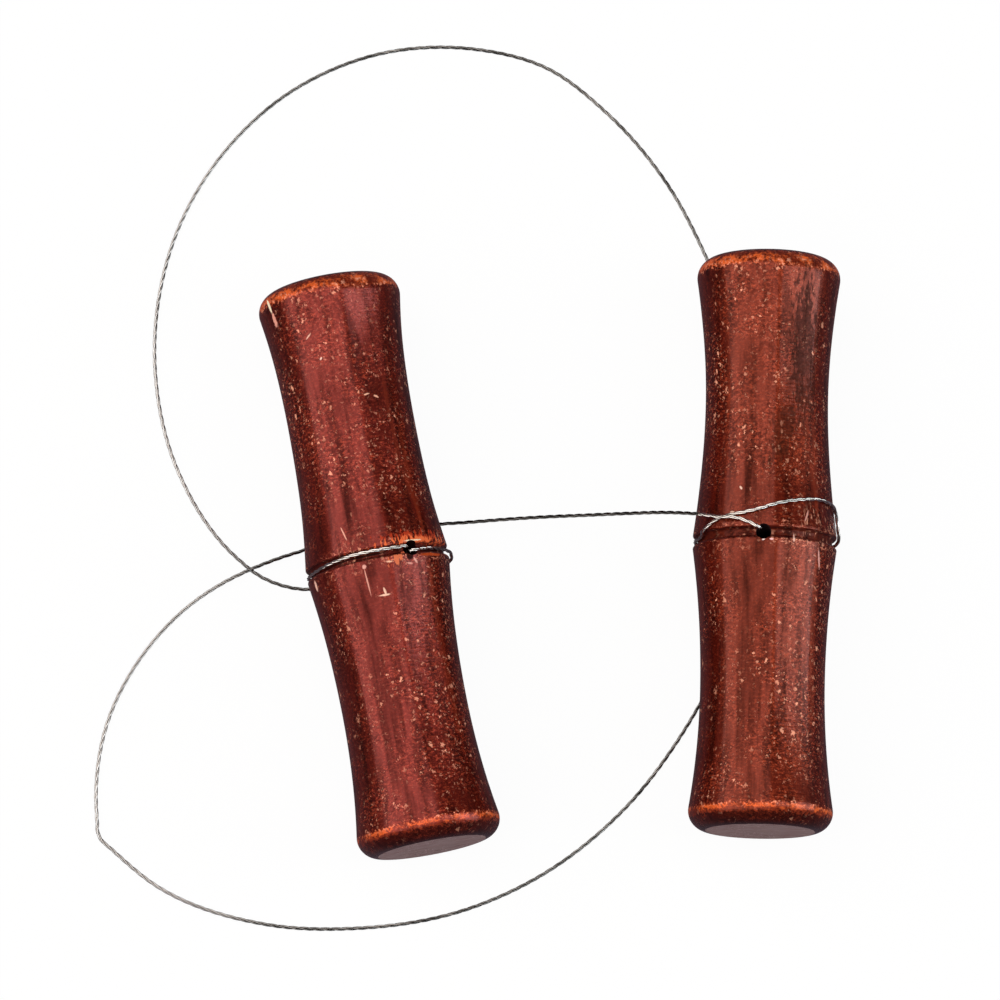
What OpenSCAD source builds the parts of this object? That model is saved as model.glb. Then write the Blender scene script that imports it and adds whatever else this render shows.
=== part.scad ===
// Clay cutter: a fine twisted wire with a turned wooden handle tied on at each end.
// The handles lie side by side on a table. The wire leaves the right one high up,
// passes under the left one, makes a wide loop round both and comes back to the left one.
// Lengths are in millimetres. The table is at z = 0 and +Y runs along the handles.

/* [Handles] */
// Length of a handle from end face to end face
handle_len = 76.2; // [60:0.1:100]
// Diameter at the two rims, where a handle is thickest
rim_d = 18.9; // [18:0.1:24]
// Radius of the rounding between a rim and its end face
rim_round = 2.6; // [1:0.1:4]
// Diameter at the two waists, where the fingers close
waist_d = 16.3; // [13:0.1:17]
// How far the swelling at mid-length stays inside the line of the two rims
swell_drop = 0.01; // [0:0.01:0.6]

/* [Tie seat] */
// Width of the groove round the swelling
groove_w = 1.2; // [1.15:0.05:2]
// Depth of the groove below the swelling
groove_depth = 0.6; // [0.5:0.05:1.6]
// Radius of the groove's rounded lips
lip_round = 0.3; // [0.1:0.05:0.5]
// Diameter of the hole drilled across a handle in its groove
hole_d = 2; // [1.6:0.1:3]
// Lean of the left handle's hole from upright, in degrees
left_hole_lean = 30; // [20:1:40]
// Lean of the right handle's hole from upright, in degrees
right_hole_lean = -3; // [-10:1:5]

/* [Wire] */
// Diameter over the two twisted strands
wire_d = 0.5; // [0.3:0.05:0.55]
// Clearance between a tie and what it lies on
seat_gap = 0.04; // [0.02:0.01:0.08]
// Length of the tail tucked into the hole
tail_len = 4; // [2:0.5:6]

/* [Layout] */
// Left handle's middle, across the table
left_x = -22.6; // [-26:0.1:-20]
// Left handle's middle, up the table
left_y = -1.1; // [-4:0.1:4]
// Left handle's turn on the table, in degrees
left_turn = 10.7; // [0:0.1:20]
// Right handle's middle, across the table
right_x = 28.25; // [26:0.05:32]
// Right handle's middle, up the table
right_y = 1.6; // [-4:0.1:4]
// Right handle's turn on the table, in degrees
right_turn = -1.3; // [-10:0.1:10]
// Gap between the right handle's rims and the wire that runs under them
swing_gap = 0.13; // [0.05:0.01:0.5]

/* [Hidden] */
wood = "#6B2418";
steel = "#9A9A96";
$fn = 96;

waist_r = waist_d / 2;
swell_r = rim_d / 2 - swell_drop;
quarter = handle_len / 4;
rim_run = quarter - rim_round;
lip = min(lip_round, groove_depth / 2);
lip_s = groove_w / 2 + lip;
groove_r = swell_r - groove_depth;
// Narrow flat along the bottom of the groove, between its two rounded corners
groove_flat = 0.1;
corner = min((groove_w - groove_flat) / 2, groove_depth - lip);
corner_s = groove_w / 2 - corner;

// Radius of the hollow that runs from a waist and ends tangent to a rounding.
// run is the length to the rounding's centre and top_r the radius of its crest.
function hollow(run, top_r, rounding) =
    (run * run + pow(top_r - rounding - waist_r, 2) - rounding * rounding) / (2 * (top_r - waist_r));

swell_run = quarter - lip_s;
swell_hollow = hollow(swell_run, swell_r, lip);
rim_hollow = hollow(rim_run, rim_d / 2, rim_round);
swell_end = asin(swell_run / (swell_hollow + lip));
rim_end = asin(rim_run / (rim_hollow + rim_round));

rest_r = rim_d / 2;
wire_r = wire_d / 2;
// Height of the wire's middle where it lies on the table
table_gap = 0.03;
lie = wire_r + table_gap;
right_lift = lie + wire_r + swing_gap;
left_at = [left_x, left_y, rest_r];
right_at = [right_x, right_y, rest_r + right_lift];

// Half of a handle's profile, from the edge of the groove's flat to the end face, as [radius, length].
half_profile = concat(
    [for (a = [0:15:90]) [groove_r + corner * (1 - cos(a)), corner_s + corner * sin(a)]],
    [for (a = [-75:15:0]) [swell_r - lip + lip * cos(a), lip_s + lip * sin(a)]],
    [for (i = [0:14]) hollow_point(swell_hollow, -swell_end * (1 - i / 14))],
    [for (i = [1:13]) hollow_point(rim_hollow, rim_end * i / 14)],
    [for (i = [0:12]) rim_point(-rim_end + i / 12 * (rim_end + 90))]
);
function hollow_point(radius, a) = [waist_r + radius * (1 - cos(a)), quarter + radius * sin(a)];
function rim_point(a) = [
    rim_d / 2 - rim_round + rim_round * cos(a),
    handle_len / 2 - rim_round + rim_round * sin(a)
];
function mirrored(points) = [for (i = [len(points) - 1:-1:0]) [points[i][0], -points[i][1]]];

// Radius at which a wire's middle lies, by its offset s along the handle: in the groove, and on
// the swelling beside it.
in_groove = groove_w / 2 - wire_r - seat_gap;
function groove_seat(s) = groove_r + groove_w / 2 - sqrt(max(in_groove * in_groove - s * s, 0.002));
function flank_r(s) = waist_r + swell_hollow - sqrt(pow(swell_hollow, 2) - pow(quarter - max(abs(s), lip_s), 2));
function flank_seat(s) = flank_r(s) + 1.02 * wire_r + seat_gap;

// Local points of a handle. a is the angle round the axis from the top. In the groove, k is the
// share of the free width. Outside it, n is the distance from mid-length and up the height over
// the wood, both in wire diameters. On a lip, share is the part of the groove's depth gone down.
function round_at(a, s, r) = [r * sin(a), s, r * cos(a)];
function groove_at(a, k = 0) = round_at(a, k * in_groove, groove_seat(k * in_groove));
function over_at(a, n, up = 0) = round_at(a, n * wire_d, flank_seat(n * wire_d) + up * wire_d);
function lip_at(a, n, share) = round_at(a, n * wire_d, flank_seat(n * wire_d) - share * groove_depth);
// In the cross hole, u runs along the hole, v across it towards larger angles.
function hole_at(lean, u, v, s) = [u * sin(lean) + v * cos(lean), s, u * cos(lean) - v * sin(lean)];
function placed(p, at, turn) = at + [p[0] * cos(turn) - p[1] * sin(turn), p[0] * sin(turn) + p[1] * cos(turn), p[2]];

// Bend of radius b at a hole's mouth, from the hole at offset v into the groove. The end of the
// hole and the side that the wire turns to are 1 or -1.
function mouth_bend(lean, end, side, v, s, b) = [
    for (a = [0:30:90])
        hole_at(lean, end * (groove_seat(s) - b * (1 - sin(a))), side * (v + b * (1 - cos(a))), s)
];
function reversed(points) = [for (i = [len(points) - 1:-1:0]) points[i]];
strand_bend = 1.2 * wire_d;
tail_bend = 0.8 * wire_d;
tail_v = hole_d / 2 - tail_bend;
turn_step = 9;

// The right tie comes down on to the swelling and into the hole from above, out below, up round
// the left side, over the front above the groove, and round the right side back into the hole.
lead_angle = -38.7;
lead_n = 4.12;
lead_len = 3.4;
lead_top = over_at(lead_angle, lead_n, 1.12);
right_exit = lead_top + lead_len * [-cos(lead_angle), 0.2, sin(lead_angle)];
r_lean = right_hole_lean;
right_path = concat(
    [right_exit, right_exit * 0.5 + lead_top * 0.5, lead_top],
    [over_at(-30, 3.86, 0.96), over_at(-24, 3.56, 0.4), over_at(-18, 2.9, 0.08)],
    [over_at(-13.6, 2.26, 0.08), over_at(-10.5, 1.72, 0.12), over_at(-8.2, 1.24, 0.26)],
    [hole_at(r_lean, groove_r + 1.3 * wire_d, -1.04 * wire_d, 0.8 * wire_d)],
    [hole_at(r_lean, groove_r, -0.76 * wire_d, 0.5 * wire_d)],
    [hole_at(r_lean, groove_r - 2 * wire_d, -0.6 * wire_d, 0.2 * wire_d)],
    [hole_at(r_lean, groove_r / 2, -0.4 * wire_d, 0), hole_at(r_lean, -groove_r / 2, -0.2 * wire_d, 0)],
    [hole_at(r_lean, 2.4 * wire_d - groove_r, -0.2 * wire_d, 0)],
    mouth_bend(r_lean, -1, -1, 0.2 * wire_d, 0, strand_bend),
    [for (a = [-170:turn_step:-71]) groove_at(a)],
    [lip_at(-66, 0.2, 0.83), lip_at(-62.5, 0.6, 0.44), lip_at(-59.5, 1.1, 0.06), over_at(-55, 1.8)],
    [over_at(-46.5, 3.32), over_at(-38.7, 4.12), over_at(-30, 4.6), over_at(-22.1, 4.94), over_at(-14, 5.4)],
    [over_at(-6.2, 6.02), over_at(5.6, 7.34), over_at(17.9, 8.4), over_at(31.5, 9.16), over_at(45.5, 9.74)],
    [over_at(59.7, 9.66), over_at(70, 9.32), over_at(78, 8.4), over_at(83.5, 6.6), over_at(87, 4.4)],
    [over_at(90, 2.6), over_at(93.5, 1.24), lip_at(97, 0.56, 0.44), lip_at(101, 0.2, 0.83)],
    [for (a = [107:turn_step:165]) groove_at(a)],
    reversed(mouth_bend(r_lean, -1, 1, tail_v, 0, tail_bend)),
    [hole_at(r_lean, tail_len / 2 - groove_r, tail_v, 0), hole_at(r_lean, tail_len - groove_r, tail_v, 0)]
);

// The left tie goes up into the hole from below, out in front, round the right side and the back,
// round the left side and back into the hole beside itself. It stands proud of the groove at the
// right side.
beside = 0.97;
beside_s = beside * in_groove;
mouth_drop = 0.5;
l_lean = left_hole_lean;
left_exit = hole_at(l_lean, -groove_r, 0, -beside_s) - [0, 0, mouth_drop];
far_turn = [
    0, 0, 0.16, 0.32, 0.52, 0.68, 0.81, beside, beside, beside, 0.8, 0.5, 0.16, -0.16, -0.5, -0.75,
    -0.81, -0.75, -0.5, -0.1, 0.3, 0.6, 0.85, 0.95, beside, beside, beside, beside
];
left_path = concat(
    [left_exit, left_exit + [0, 0, mouth_drop / 2], left_exit + [0, 0, mouth_drop - 0.2 * wire_d]],
    [hole_at(l_lean, wire_d - groove_r, 0, -beside_s), hole_at(l_lean, 3 * wire_d - groove_r, 0, -beside_s)],
    [hole_at(l_lean, 0, 0, -beside_s), hole_at(l_lean, groove_r - 3 * wire_d, -0.2 * wire_d, -beside_s)],
    mouth_bend(l_lean, 1, 1, -0.2 * wire_d, -beside_s, strand_bend),
    [groove_at(39, -0.65), groove_at(46, -0.32), groove_at(55, -0.16), groove_at(64, -0.32)],
    [lip_at(72, -0.24, 0.78), lip_at(79, -0.3, 0.44), lip_at(86, -0.5, 0.11), over_at(93, -1, 0.1)],
    [over_at(101, -1.56, 0.16), over_at(109, -1.6, 0.1), over_at(117, -1.1), lip_at(123, -0.56, 0.44)],
    [lip_at(129, -0.2, 0.78)],
    [for (i = [0:len(far_turn) - 1]) groove_at(136 + turn_step * i, far_turn[i])],
    reversed(mouth_bend(l_lean, 1, -1, tail_v, beside_s, tail_bend)),
    [hole_at(l_lean, groove_r - tail_len / 2, -tail_v, beside_s)],
    [hole_at(l_lean, groove_r - tail_len, -tail_v, beside_s)]
);

// The free wire's way over the table, as [x, y, height above lying flat].
descent = [
    [15.3, 5.3, 12.5], [10.1, 5.8, 9.05], [4.9, 6.1, 6.15], [-0.3, 6.3, 3.85], [-5.6, 6.3, 2.05], [-10.9, 6.1, 0.85],
    [-16, 5.9, 0.2], [-20, 5.7, 0], [-24, 5.1, 0], [-28.5, 3.9, 0]
];
lead_loop = [
    [-32.5, 2.5, 0.02], [-36, 1.3, 0.3], [-39.6, -0.2, 0.57], [-43.5, -2.1, 0.2], [-47.5, -4.8, 0], [-53, -10.5, 0],
    [-58.5, -21, 0], [-59.8, -30, 0], [-59.6, -34, 0], [-59.5, -35.3, 0], [-59, -36.3, 0], [-57.9, -37.3, 0]
];
near_loop = [
    [-51.5, -42.5, 0], [-37, -47.5, 0], [-26, -48, 0], [-11, -45.5, 0], [-2, -41.5, 0], [10.5, -31.5, 0],
    [17, -23, 0], [24.5, -8, 0], [27.5, 12, 0], [24.8, 32, 0], [21, 42.5, 0]
];
arch = [
    [15.5, 53, 0], [8, 62, 0], [-0.5, 68.5, 0], [-10, 71, 0], [-22, 70.5, 0], [-35.5, 64.5, 0], [-42.5, 58, 0],
    [-49.5, 46.5, 0], [-52, 37.5, 0], [-52.5, 26.5, 0], [-49.5, 13.5, 0], [-41.5, 1.5, 0], [-38, -1.2, 0], [-34, -2.6, 0]
];
left_foot = placed(left_exit, left_at, left_turn);
right_foot = placed(right_exit, right_at, right_turn);
// Radius of the last bend, from lying on the table to upright under the left handle's hole
rise = left_foot[2] - lie;
function lifted(points) = [for (p = points) p + [0, 0, lie]];
function foot_bend(a) = [
    left_foot[0] - rise * (1 - cos(a)) * cos(left_turn),
    left_foot[1] - rise * (1 - cos(a)) * sin(left_turn),
    lie + rise * (1 - sin(a))
];
wire_points = concat(
    [right_foot],
    lifted(concat(descent, lead_loop, near_loop, arch)),
    [for (a = [90:-30:0]) foot_bend(a)]
);

// Smooth curve through the points, with more rings where two of them lie further apart than step.
wire_step = 8;
tie_step = 1.5;
function unit(v) = v / norm(v);
function slope(p, i) = (p[i + 1] - p[i]) / norm(p[i + 1] - p[i]);
function inner_tangent(p, i) =
    let (a = norm(p[i] - p[i - 1]), b = norm(p[i + 1] - p[i]))
    (slope(p, i) * a + slope(p, i - 1) * b) / (a + b);
function tangent(p, i) =
    i == 0 ? 2 * slope(p, 0) - inner_tangent(p, 1)
    : i == len(p) - 1 ? 2 * slope(p, i - 1) - inner_tangent(p, i - 1)
    : inner_tangent(p, i);
function between(p, i, t) =
    let (d = norm(p[i + 1] - p[i]))
    (2 * t * t * t - 3 * t * t + 1) * p[i] + (t * t * t - 2 * t * t + t) * d * tangent(p, i)
    + (3 * t * t - 2 * t * t * t) * p[i + 1] + (t * t * t - t * t) * d * tangent(p, i + 1);
function smooth(p, step) = [
    for (i = [0:len(p) - 2])
        let (n = ceil(norm(p[i + 1] - p[i]) / step))
        for (k = [0:n - 1]) between(p, i, k / n),
    p[len(p) - 1]
];

// Directions and cross directions of a tube's rings. Each cross direction is the one before it,
// turned as little as the bend allows.
function ring_dir(p, i) = unit(tangent(p, i));
function square_to(v, d) = unit(v - (v * d) * d);
function cross_dirs(p, first) = [
    for (i = 0, c = square_to(first, ring_dir(p, 0)); i < len(p); i = i + 1, c = square_to(c, ring_dir(p, min(i, len(p) - 1)))) c
];

// Closed tube of eight sides along the points.
sides = 8;
module tube(p, d, first = [0.3, 0.5, 0.8]) {
    across = cross_dirs(p, first);
    rings = [
        for (i = [0:len(p) - 1])
            for (k = [0:sides - 1])
                let (a = 360 * k / sides, u = across[i], w = cross(ring_dir(p, i), u))
                p[i] + d / 2 * (cos(a) * u + sin(a) * w)
    ];
    walls = [
        for (i = [0:len(p) - 2])
            for (k = [0:sides - 1])
                let (n = (k + 1) % sides)
                [i * sides + k, (i + 1) * sides + k, (i + 1) * sides + n, i * sides + n]
    ];
    polyhedron(
        points = rings,
        faces = concat(
            walls,
            [[for (k = [0:sides - 1]) k]],
            [[for (k = [sides - 1:-1:0]) (len(p) - 1) * sides + k]]
        ),
        convexity = 10
    );
}

// Same points with the first one moved along the wire, to leave a gap at a swinging end.
end_gap = 0.05;
function short_start(p) = concat([p[0] + end_gap * unit(p[1] - p[0])], [for (i = [1:len(p) - 1]) p[i]]);
function short_both(p) = reversed(short_start(reversed(short_start(p))));

// A turned handle: rims, waists and swelling in one profile, with the hole across its groove.
module handle(lean) {
    difference() {
        rotate([-90, 0, 0])
            rotate_extrude()
                polygon(concat(
                    [[0, -handle_len / 2]],
                    mirrored(half_profile),
                    half_profile,
                    [[0, handle_len / 2]]
                ));
        rotate([0, lean, 0])
            cylinder(h = 2 * rest_r + 2, d = hole_d, center = true);
    }
}

module at_left() {
    translate(left_at) rotate([0, 0, left_turn]) children();
}

module at_right() {
    translate(right_at) rotate([0, 0, right_turn]) children();
}

module left_handle() {
    color(wood) at_left() handle(left_hole_lean);
}

module right_handle() {
    color(wood) at_right() handle(right_hole_lean);
}

module left_wire_tie() {
    color(steel) at_left() tube(short_start(smooth(left_path, tie_step)), wire_d);
}

module right_wire_tie() {
    color(steel) at_right() tube(short_start(smooth(right_path, tie_step)), wire_d);
}

module cutting_wire() {
    color(steel) tube(short_both(smooth(wire_points, wire_step)), wire_d);
}

left_handle();
right_handle();
left_wire_tie();
right_wire_tie();
cutting_wire();
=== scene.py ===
"""Clay cutter: two turned beech handles on a loose twisted steel wire, laid out on a pale table.

The handles and the wire take their places from the packed model. Everything is in metres in
Blender, and the makers' drawings in this file are in millimetres.
"""

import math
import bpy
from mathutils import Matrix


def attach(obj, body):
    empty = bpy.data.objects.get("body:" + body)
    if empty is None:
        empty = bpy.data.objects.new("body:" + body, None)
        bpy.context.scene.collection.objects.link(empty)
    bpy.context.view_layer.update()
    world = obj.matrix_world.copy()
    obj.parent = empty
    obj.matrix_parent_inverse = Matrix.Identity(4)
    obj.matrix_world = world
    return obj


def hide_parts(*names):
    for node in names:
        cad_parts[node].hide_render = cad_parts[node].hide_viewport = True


bl_info = {
    "name": "Clay Cutter",
    "version": (1, 0, 0),
    "blender": (4, 5, 0),
    "location": "3D View > Sidebar > Clay Cutter",
    "description": "Makes a clay cutter: two turned handles, a twisted wire and a small studio",
    "category": "Object",
}

import bmesh
import bpy
from bpy.props import FloatProperty, FloatVectorProperty, IntProperty, PointerProperty
from mathutils import Matrix, Vector

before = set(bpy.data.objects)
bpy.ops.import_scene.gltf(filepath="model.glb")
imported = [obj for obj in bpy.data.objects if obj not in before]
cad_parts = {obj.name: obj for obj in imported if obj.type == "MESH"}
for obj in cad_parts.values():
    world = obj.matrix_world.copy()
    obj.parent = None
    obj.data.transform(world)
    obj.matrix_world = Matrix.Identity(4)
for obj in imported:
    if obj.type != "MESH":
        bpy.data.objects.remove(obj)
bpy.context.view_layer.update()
MM = 0.001


def linear(hex_colour):
    """Turns a screen colour, such as "#6B2418", into the one that a shader takes."""
    parts = [int(hex_colour[i : i + 2], 16) / 255 for i in (1, 3, 5)]
    return [p / 12.92 if p <= 0.04045 else ((p + 0.055) / 1.055) ** 2.4 for p in parts]


def length_prop(name, description, default_mm):
    """A length that the sidebar shows in the scene's own unit."""
    return FloatProperty(
        name=name, description=description, default=default_mm * MM, unit="LENGTH", precision=5
    )


def colour_prop(name, description, default):
    """A colour with its default written for the screen."""
    return FloatVectorProperty(
        name=name, description=description, default=linear(default), subtype="COLOR",
        size=3, min=0, max=1,
    )


def count_prop(name, description, default, least, most):
    """A number of sides or strands."""
    return IntProperty(name=name, description=description, default=default, min=least, max=most)


def power_prop(name, description, default):
    """A lamp's power in watts."""
    return FloatProperty(name=name, description=description, default=default, unit="POWER")


# ---- what a user would change


class ClayCutterHandleSizes(bpy.types.PropertyGroup):
    """Sizes of a turned handle"""

    length: length_prop("Length", "Length of a handle from end face to end face", 76.2)
    rim_d: length_prop("Rim diameter", "Diameter at the two rims, where a handle is thickest", 18.9)
    rim_round: length_prop("Rim rounding", "Radius between a rim and its end face", 2.6)
    waist_d: length_prop("Waist diameter", "Diameter at the waists, where the fingers close", 16.3)
    swell_drop: length_prop("Swelling drop", "How far the swelling stays inside the rims", 0.01)
    groove_w: length_prop("Groove width", "Width of the groove round the swelling", 1.2)
    groove_depth: length_prop("Groove depth", "Depth of the groove below the swelling", 0.6)
    lip_round: length_prop("Lip rounding", "Radius of the groove's lips", 0.3)
    hole_d: length_prop("Hole diameter", "Diameter of the hole drilled across the groove", 2.0)
    sides: count_prop("Sides", "Sides of a turned handle", 256, 48, 512)


class ClayCutterWireSizes(bpy.types.PropertyGroup):
    """Sizes of the twisted wire"""

    diameter: length_prop("Diameter", "Diameter over the twisted strands", 0.5)
    pitch: length_prop("Pitch", "Length of wire in which a strand goes once round the others", 4.2)
    strands: count_prop("Strands", "Strands twisted into the wire", 3, 2, 6)
    seat_gap: length_prop("Seat gap", "Clearance between a tie and what it lies on", 0.04)
    tail_len: length_prop("Tail", "Length of the tail tucked into the hole", 4.0)
    sides: count_prop("Sides", "Sides of a strand", 8, 5, 24)


class ClayCutterWoodFinish(bpy.types.PropertyGroup):
    """Colours of the stained and lacquered beech"""

    body: colour_prop("Stain", "Red-brown stain over most of the wood", "#4C1008")
    # The dark grain colour also paints the shade in the groove.
    streak: colour_prop("Dark grain", "Grain and pores that drank more of the stain", "#1C0504")
    thin: colour_prop("Thin stain", "Where the stain lies thin over the beech", "#94381F")
    sheen: colour_prop("Left sheen", "Tint of what the left handle's lacquer mirrors", "#FF6A5C")
    brown_sheen: colour_prop("Right sheen", "The same for the browner right handle", "#EC6844")
    fleck: colour_prop("Ray flecks", "Short pale flecks that the stain left", "#FFB290")
    worn: colour_prop("Worn rim", "Wood rubbed bare at the rims", "#F06A30")
    # The end faces' pale colour is partly painted reflection of the table.
    end_grain_and_reflection: colour_prop("End faces", "Lacquered end grain", "#CCB0AA")
    dust: colour_prop("Dust", "Fine dust, seen along the surface of the lacquer", "#D0B4CC")
    burnt: colour_prop("Burnt edge", "Near-black line round an end face", "#240A0A")
    # The hole's colour is painted shade inside the drilled hole.
    hole_shade: colour_prop("Hole", "Old dark dust in the drilled hole", "#120606")


class ClayCutterSteelFinish(bpy.types.PropertyGroup):
    """Colours of the drawn steel wire"""

    bright: colour_prop("Bright steel", "Clean drawn steel", "#FFFCF8")
    dull: colour_prop("Dull steel", "Steel gone grey with handling", "#DAD6CE")
    # The next three colours paint the free wire as a darker copy of the steel, which is painted
    # shade.
    shaded_bright: colour_prop("Cutting wire", "Steel that has cut wet clay", "#A8A7A3")
    shaded_dull: colour_prop("Stained cutting wire", "Steel that wet clay has stained", "#62615E")
    stain: colour_prop("Middle of the wire", "Steel where it has cut the most clay", "#343331")


class ClayCutterStudio(bpy.types.PropertyGroup):
    """Camera, lamps and table"""

    lens: FloatProperty(
        name="Lens", description="Focal length of the camera", default=243.6, unit="CAMERA"
    )
    elevation: FloatProperty(
        name="Elevation", description="Angle of the camera above the table",
        default=math.radians(79.5), subtype="ANGLE",
    )
    distance: length_prop("Distance", "From the camera to the middle of its view", 900)
    main_lamp: power_prop("Main softbox", "Power of the large softbox over the left", 6.9)
    side_lamp: power_prop("Side softbox", "Power of the narrow softbox on the right", 2.8)
    room: FloatProperty(
        name="Room light", description="Light that comes from the room", default=0.07, min=0, max=1
    )
    table: colour_prop("Table", "Colour of the table and the room in the picture", "#FFFFFF")
    paint: colour_prop("Table paint", "Paint of the table as it lights the pieces", "#B4B4B4")
    mirrored: colour_prop("Table in the gloss", "Paint of the table as it is mirrored", "#544C54")
    main_tint: colour_prop("Main softbox tint", "Colour of the large softbox's light", "#FFF6F2")
    side_tint: colour_prop("Side softbox tint", "Colour of the narrow softbox's light", "#F2FAFF")


# ---- places, from the packed model

# How a handle lies: its middle in mm, its turn on the table and the lean of its hole.
LEFT_LIE = LEFT_AT, LEFT_TURN, LEFT_LEAN = (
    Vector((-22.6, -1.1, 9.45)), math.radians(10.7), math.radians(30),
)
RIGHT_LIE = RIGHT_AT, RIGHT_TURN, RIGHT_LEAN = (
    Vector((28.25, 1.6, 10.11)), math.radians(-1.3), math.radians(-3),
)
# Between the table and the free wire, in mm.
TABLE_GAP = 0.03
# What the lathe left different, in mm: how much fuller in radius the lower and upper waists are,
# and how far the ends of the handle bow aside.
LEFT_TURNED, RIGHT_TURNED = ((0.05, 0.15), 0.16), ((0.0, -0.09), 0.0)
# The side of a wire on which its first strand starts.
FIRST_ACROSS = Vector((0.3, 0.5, 0.8))
# Rows of corners along a swelling, a waist and a rim, and an end face's rings, in radii.
SWELL_ROWS, WAIST_ROWS, RIM_ROWS = 48, 44, 20
FACE_RINGS = (0.97, 0.75, 0.5, 0.25)
# A fuller waist runs out a quarter of the length over this away.
WAIST_FADE = 1.45
# From the wood to the middle of a wire on it, in wires: half, and a little to clear it.
HALF_WIRE = 0.51
# Sides of the drill, how far it stands out in mm, and the sharpest corner that stays smooth.
DRILL_SIDES, DRILL_OUT, SHARP = 64, 1, math.radians(35)
# Rows of corners in one turn of a strand, on the table and in a tie.
WIRE_ROWS, TIE_ROWS = 16, 20


def placed(point, at, turn):
    """A handle's own point, put where the handle lies on the table."""
    return Matrix.Rotation(turn, 3, "Z") @ Vector(point) + at


def round_at(degrees, s, r):
    """A place round a handle: degrees from straight up, s along it and r from its middle line."""
    a = math.radians(degrees)
    return Vector((r * math.sin(a), s, r * math.cos(a)))


def hole_at(lean, u, v, s):
    """A place by the hole: u along it, v beside its middle line and s along the handle."""
    up, aside = math.cos(lean), math.sin(lean)
    return Vector((u * aside + v * up, s, u * up - v * aside))


# ---- the turned profile


class Turning:
    """The profile of a handle, worked out from its sizes, in millimetres."""

    def __init__(self, sizes, wire):
        self.length = sizes.length / MM
        self.rim_r = sizes.rim_d / 2 / MM
        self.rim_round = sizes.rim_round / MM
        self.waist_r = sizes.waist_d / 2 / MM
        self.swell_r = self.rim_r - sizes.swell_drop / MM
        self.groove_w = sizes.groove_w / MM
        self.depth = sizes.groove_depth / MM
        self.lip = min(sizes.lip_round / MM, self.depth / 2)
        self.hole_r = sizes.hole_d / 2 / MM
        self.quarter = self.length / 4
        self.lip_s = self.groove_w / 2 + self.lip
        self.groove_r = self.swell_r - self.depth
        self.corner = min((self.groove_w - 0.1) / 2, self.depth - self.lip)
        self.corner_s = self.groove_w / 2 - self.corner
        swell_run = self.quarter - self.lip_s
        rim_run = self.quarter - self.rim_round
        self.swell_hollow = self.hollow(swell_run, self.swell_r, self.lip)
        self.rim_hollow = self.hollow(rim_run, self.rim_r, self.rim_round)
        self.swell_end = math.asin(swell_run / (self.swell_hollow + self.lip))
        self.rim_end = math.asin(rim_run / (self.rim_hollow + self.rim_round))
        self.wire_d = wire.diameter / MM
        self.gap = wire.seat_gap / MM
        self.tail = wire.tail_len / MM
        self.in_groove = self.groove_w / 2 - self.wire_d / 2 - self.gap

    def hollow(self, run, top_r, rounding):
        """Radius of the hollow from a waist that ends tangent to a rounding."""
        rise = top_r - rounding - self.waist_r
        return (run**2 + rise**2 - rounding**2) / (2 * (top_r - self.waist_r))

    def corner_point(self, a):
        """In the rounded corner at the groove's bottom."""
        c = self.corner
        return self.groove_r + c * (1 - math.cos(a)), self.corner_s + c * math.sin(a)

    def lip_point(self, a):
        """On the groove's rounded lip."""
        return self.swell_r - self.lip + self.lip * math.cos(a), self.lip_s + self.lip * math.sin(a)

    def hollow_point(self, radius, a):
        """In the hollow of a waist."""
        return self.waist_r + radius * (1 - math.cos(a)), self.quarter + radius * math.sin(a)

    def rim_point(self, a):
        """On a rim's rounding."""
        return (
            self.rim_r - self.rim_round + self.rim_round * math.cos(a),
            self.length / 2 - self.rim_round + self.rim_round * math.sin(a),
        )

    def profile(self):
        """The whole profile as (radius, length) from one end face to the other."""
        half = [self.corner_point(math.radians(a)) for a in range(0, 91, 10)]
        half += [self.lip_point(math.radians(a)) for a in range(-80, 1, 10)]
        shares = [1 - i / SWELL_ROWS for i in range(1, SWELL_ROWS + 1)]
        half += [self.hollow_point(self.swell_hollow, -self.swell_end * share) for share in shares]
        angles = [self.rim_end * i / WAIST_ROWS for i in range(1, WAIST_ROWS)]
        half += [self.hollow_point(self.rim_hollow, a) for a in angles]
        sweep = self.rim_end + math.pi / 2
        half += [self.rim_point(-self.rim_end + i / RIM_ROWS * sweep) for i in range(RIM_ROWS + 1)]
        face_r = self.rim_r - self.rim_round
        half += [(face_r * share, self.length / 2) for share in FACE_RINGS]
        return [(r, -s) for r, s in reversed(half)] + half

    def by_hand(self, fuller):
        """The profile with its lower and upper waists fuller, as the lathe left them."""
        turned = []
        for r, s in self.profile():
            off = WAIST_FADE * (abs(s) - self.quarter) / self.quarter
            swell = max(0.0, 1 - off * off) ** 2
            turned.append((r + swell * fuller[1 if s > 0 else 0], s))
        return turned

    def groove_seat(self, s):
        """Radius of the middle of a wire that lies in the groove, s along from its middle."""
        return self.groove_r + self.groove_w / 2 - math.sqrt(max(self.in_groove**2 - s * s, 0.002))

    def flank_seat(self, s):
        """Radius of the middle of a wire that lies on the swelling, s along from the groove."""
        off = self.quarter - max(abs(s), self.lip_s)
        wood = self.waist_r + self.swell_hollow - math.sqrt(self.swell_hollow**2 - off**2)
        return wood + HALF_WIRE * self.wire_d + self.gap

    def groove_at(self, degrees, k=0.0):
        """In the groove, k of the way from its middle to its wall."""
        return round_at(degrees, k * self.in_groove, self.groove_seat(k * self.in_groove))

    def over_at(self, degrees, n, up=0.0):
        """On the swelling, n wires along from the groove's middle and up wires off the wood."""
        s = n * self.wire_d
        return round_at(degrees, s, self.flank_seat(s) + up * self.wire_d)

    def lip_at(self, degrees, n, share):
        """Over the lip, n wires along and a share of the groove's depth down."""
        s = n * self.wire_d
        return round_at(degrees, s, self.flank_seat(s) - share * self.depth)

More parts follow.
